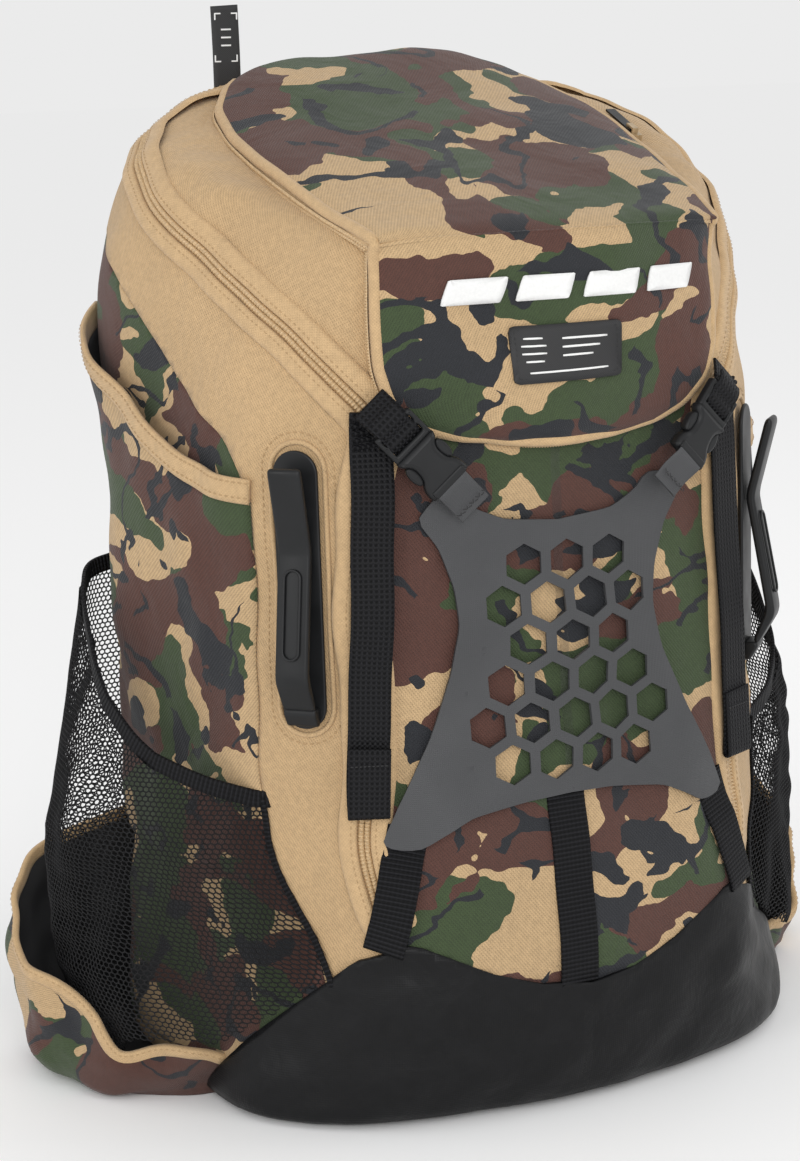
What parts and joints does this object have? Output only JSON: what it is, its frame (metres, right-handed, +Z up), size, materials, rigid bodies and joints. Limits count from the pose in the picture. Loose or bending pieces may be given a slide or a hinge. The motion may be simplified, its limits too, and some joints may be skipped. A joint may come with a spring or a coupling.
{
  "type": "sports equipment backpack",
  "caption": "Upright sports backpack with clamshell front flap, lidded top pocket, clip-on perforated helmet holder, side pockets, gear hooks and coated base.",
  "frame": {"origin": "centre of the flat underside that the bag stands on", "axes": "+Z up, the front with the helmet holder faces -Y, the shoulder straps are on the +Y side, +X is to the right seen from the front"},
  "size_m": [0.462, 0.2858, 0.5334],
  "materials": {
    "black_plastic": "satin moulded",
    "black_webbing": "woven webbing",
    "ribbed_elastic": "ribbed elastic",
    "camouflage_fabric": "printed polyester weave",
    "tan_fabric": "polyester weave",
    "coated_base": "coated tarpaulin, satin",
    "black_net": "open net",
    "grey_rubberised": "matt rubberised sheet",
    "black_label": "matt",
    "zip_metal": "satin painted",
    "board": "matt",
    "black_padding": "padded air mesh",
    "lining": "thin lining"
  },
  "bodies": {
    "root": {"back_frame_sheet": "board", "back_pads": "black_padding", "base_board": "board", "base_boot": "coated_base", "bat_cup_left": "camouflage_fabric", "bat_cup_right": "camouflage_fabric", "hook_plate_left": "black_plastic", "hook_plate_right": "black_plastic", "ladder_lock_left": "black_plastic", "ladder_lock_right": "black_plastic", "main_zip_rear_tape": "tan_fabric", "mesh_pocket_left": "black_net", "mesh_pocket_right": "black_net", "rear_shell": "tan_fabric", "shoulder_strap_left": "black_padding", "shoulder_strap_right": "black_padding", "side_sleeve_left": "camouflage_fabric", "side_sleeve_right": "camouflage_fabric", "sleeve_hem_left": "tan_fabric", "sleeve_hem_right": "tan_fabric", "strap_webbing_left": "black_webbing", "strap_webbing_right": "black_webbing", "strap_wing_left": "black_padding", "strap_wing_right": "black_padding", "strap_yoke": "black_webbing", "top_tag": "black_label"},
    "front_flap": {"front_flap_shell": "camouflage_fabric", "main_zip_front_tape": "tan_fabric", "elastic_left": "ribbed_elastic", "elastic_right": "ribbed_elastic", "elastic_centre": "ribbed_elastic", "anchor_webbing_left": "black_webbing", "anchor_webbing_right": "black_webbing", "lid_pocket_tray": "lining"},
    "lid": {"lid_cover": "camouflage_fabric", "lid_patch": "black_label"},
    "helmet_panel": {"helmet_panel": "grey_rubberised", "panel_loops": "black_webbing", "buckle_socket_left": "black_plastic", "buckle_socket_right": "black_plastic"},
    "buckle_plug_left": {"buckle_plug_left": "black_plastic", "webbing_tail_left": "black_webbing"},
    "hook_arm_left": {"hook_arm_left": "black_plastic"},
    "main_slider_left": {"main_zip_slider_left": "zip_metal"},
    "main_pull_left": {"main_zip_pull_left": "black_plastic"},
    "buckle_plug_right": {"buckle_plug_right": "black_plastic", "webbing_tail_right": "black_webbing"},
    "hook_arm_right": {"hook_arm_right": "black_plastic"},
    "main_slider_right": {"main_zip_slider_right": "zip_metal"},
    "main_pull_right": {"main_zip_pull_right": "black_plastic"},
    "grab_handle": {"grab_handle": "black_webbing"},
    "sternum_strap": {"sternum_slider_left": "black_plastic", "sternum_slider_right": "black_plastic", "sternum_webbing_left": "black_webbing", "sternum_webbing_right": "black_webbing", "sternum_buckle_socket": "black_plastic"},
    "sternum_plug": {"sternum_buckle_plug": "black_plastic"},
    "lid_slider": {"lid_zip_slider": "zip_metal"},
    "lid_pull": {"lid_zip_pull": "black_plastic"}
  },
  "joints": [
    {"name": "front_flap_fold", "type": "hinge", "parent": "root", "child": "front_flap", "pos_m": [0, -0.121, 0.062], "axis": [1, 0, 0], "range_deg": [0, 85]},
    {"name": "lid_open", "type": "hinge", "parent": "front_flap", "child": "lid", "pos_m": [0, 0.0966, 0.5116], "axis": [-1, 0, 0], "range_deg": [0, 110]},
    {"name": "helmet_panel_swing", "type": "hinge", "parent": "front_flap", "child": "helmet_panel", "pos_m": [0, -0.113, 0.139], "axis": [1, 0, 0], "range_deg": [0, 28], "deforming": ["elastic_left", "elastic_right", "elastic_centre", "anchor_webbing_left", "anchor_webbing_right"]},
    {"name": "buckle_release_left", "type": "slide", "parent": "helmet_panel", "child": "buckle_plug_left", "axis": [-0.662, 0.1605, 0.7322], "range_m": [0, 0.022], "deforming": ["anchor_webbing_left"]},
    {"name": "hook_flex_left", "type": "hinge", "parent": "root", "child": "hook_arm_left", "pos_m": [-0.1273, -0.0723, 0.2077], "axis": [0.7071, -0.7071, 0], "range_deg": [0, 12], "stiffness_Nm_per_rad": 1.2},
    {"name": "main_zip_run_left", "type": "slide", "parent": "front_flap", "child": "main_slider_left", "axis": [-1, 0, 0], "range_m": [0, 0.045]},
    {"name": "main_pull_flip_left", "type": "hinge", "parent": "main_slider_left", "child": "main_pull_left", "pos_m": [-0.0127, 0.102, 0.49646], "axis": [0, 1, 0], "range_deg": [0, 120]},
    {"name": "buckle_release_right", "type": "slide", "parent": "helmet_panel", "child": "buckle_plug_right", "axis": [0.662, 0.1605, 0.7322], "range_m": [0, 0.022], "deforming": ["anchor_webbing_right"]},
    {"name": "hook_flex_right", "type": "hinge", "parent": "root", "child": "hook_arm_right", "pos_m": [0.1273, -0.0723, 0.2077], "axis": [0.7071, 0.7071, 0], "range_deg": [0, 12], "stiffness_Nm_per_rad": 1.2},
    {"name": "main_zip_run_right", "type": "slide", "parent": "front_flap", "child": "main_slider_right", "axis": [1, 0, 0], "range_m": [0, 0.045]},
    {"name": "main_pull_flip_right", "type": "hinge", "parent": "main_slider_right", "child": "main_pull_right", "pos_m": [0.0127, 0.102, 0.49646], "axis": [0, -1, 0], "range_deg": [0, 120]},
    {"name": "grab_handle_lift", "type": "hinge", "parent": "root", "child": "grab_handle", "pos_m": [0, 0.118, 0.491], "axis": [1, 0, 0], "range_deg": [0, 100]},
    {"name": "sternum_height", "type": "slide", "parent": "root", "child": "sternum_strap", "axis": [0, 0.0797, 0.9968], "range_m": [-0.03, 0.03]},
    {"name": "sternum_release", "type": "slide", "parent": "sternum_strap", "child": "sternum_plug", "axis": [1, 0, 0], "range_m": [0, 0.02], "deforming": ["sternum_webbing_right"]},
    {"name": "lid_zip_run", "type": "slide", "parent": "front_flap", "child": "lid_slider", "axis": [-0.0899, -0.934, -0.3456], "range_m": [0, 0.07]},
    {"name": "lid_pull_flip", "type": "hinge", "parent": "lid_slider", "child": "lid_pull", "pos_m": [0.11092, 0.01749, 0.46348], "axis": [0.996, -0.0843, -0.0312], "range_deg": [0, 120]}
  ]
}
